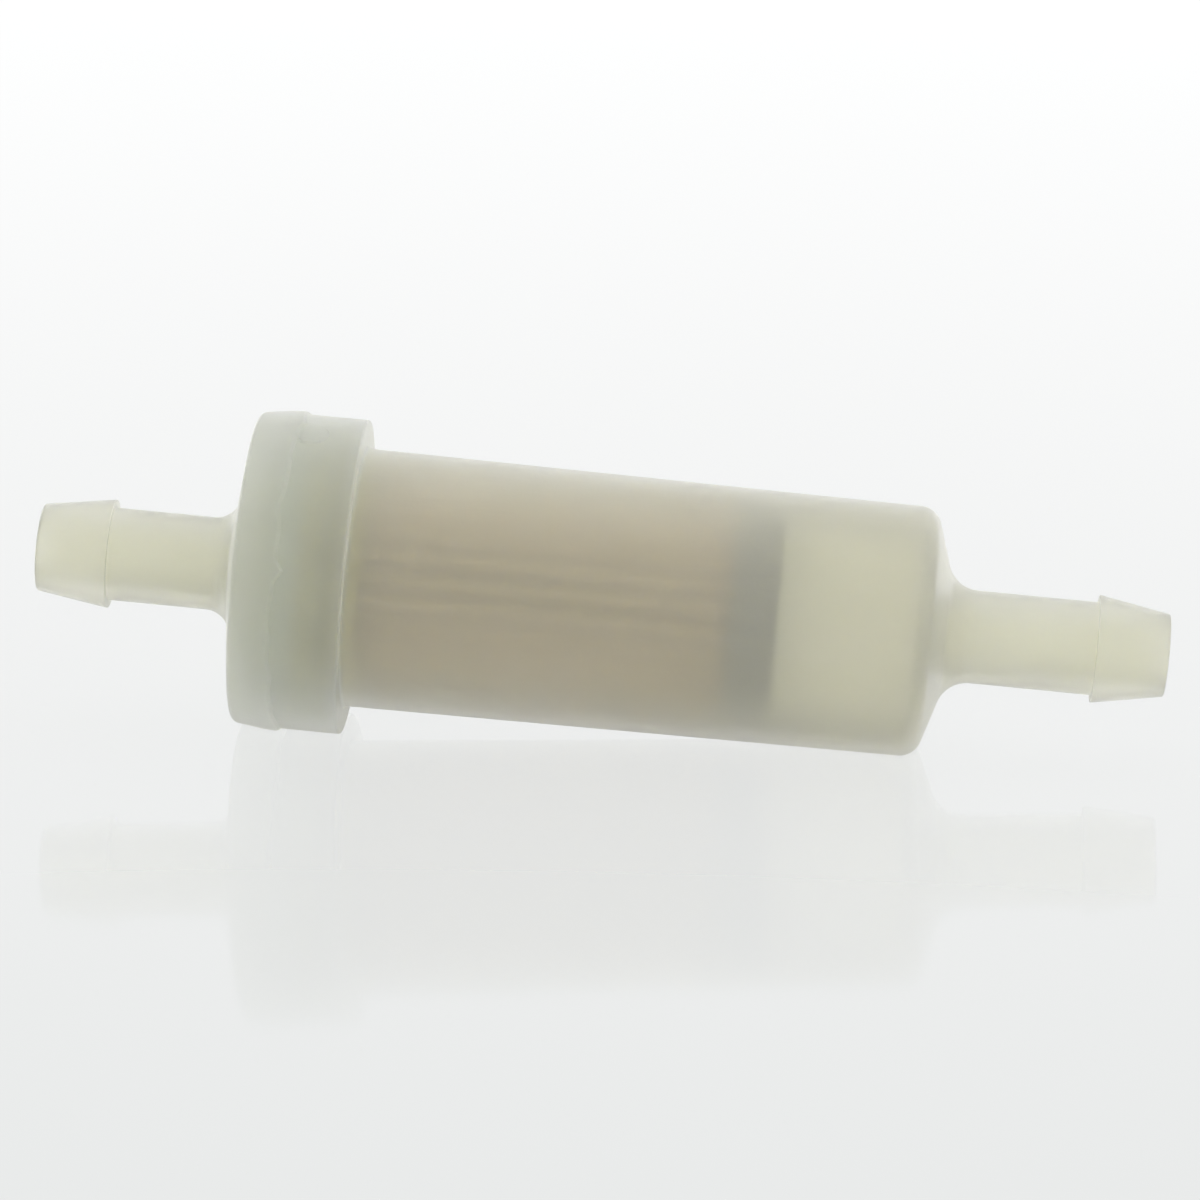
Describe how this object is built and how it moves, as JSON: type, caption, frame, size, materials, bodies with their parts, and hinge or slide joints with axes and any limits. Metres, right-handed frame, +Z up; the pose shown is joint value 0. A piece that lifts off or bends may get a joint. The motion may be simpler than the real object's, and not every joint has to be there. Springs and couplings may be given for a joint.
{
  "type": "inline fuel filter",
  "caption": "Translucent nylon inline fuel filter with a barbed hose stem at each end and a pleated paper element inside.",
  "frame": {"origin": "middle of the base of the filter's bounding box, on the surface that it lies on", "axes": "+X runs level from the outlet stem to the inlet stem, +Z is up; the filter's own axis dips 3.4 degrees towards +X"},
  "size_m": [0.0976, 0.0276, 0.0277],
  "materials": {
    "milky_nylon": "milky, faintly greenish translucent nylon with a soft gloss",
    "filter_paper": "tan resin-treated filter paper, matt",
    "dark_end_compound": "dark grey cast compound, matt",
    "pale_end_compound": "pale olive cast compound, matt",
    "white_core_plastic": "white moulded plastic, matt"
  },
  "bodies": {
    "root": {"outlet_cap": "milky_nylon", "inlet_bowl": "milky_nylon", "pleated_paper": "filter_paper", "closed_end_disc": "dark_end_compound", "open_end_ring": "pale_end_compound", "support_core": "white_core_plastic"}
  },
  "joints": []
}
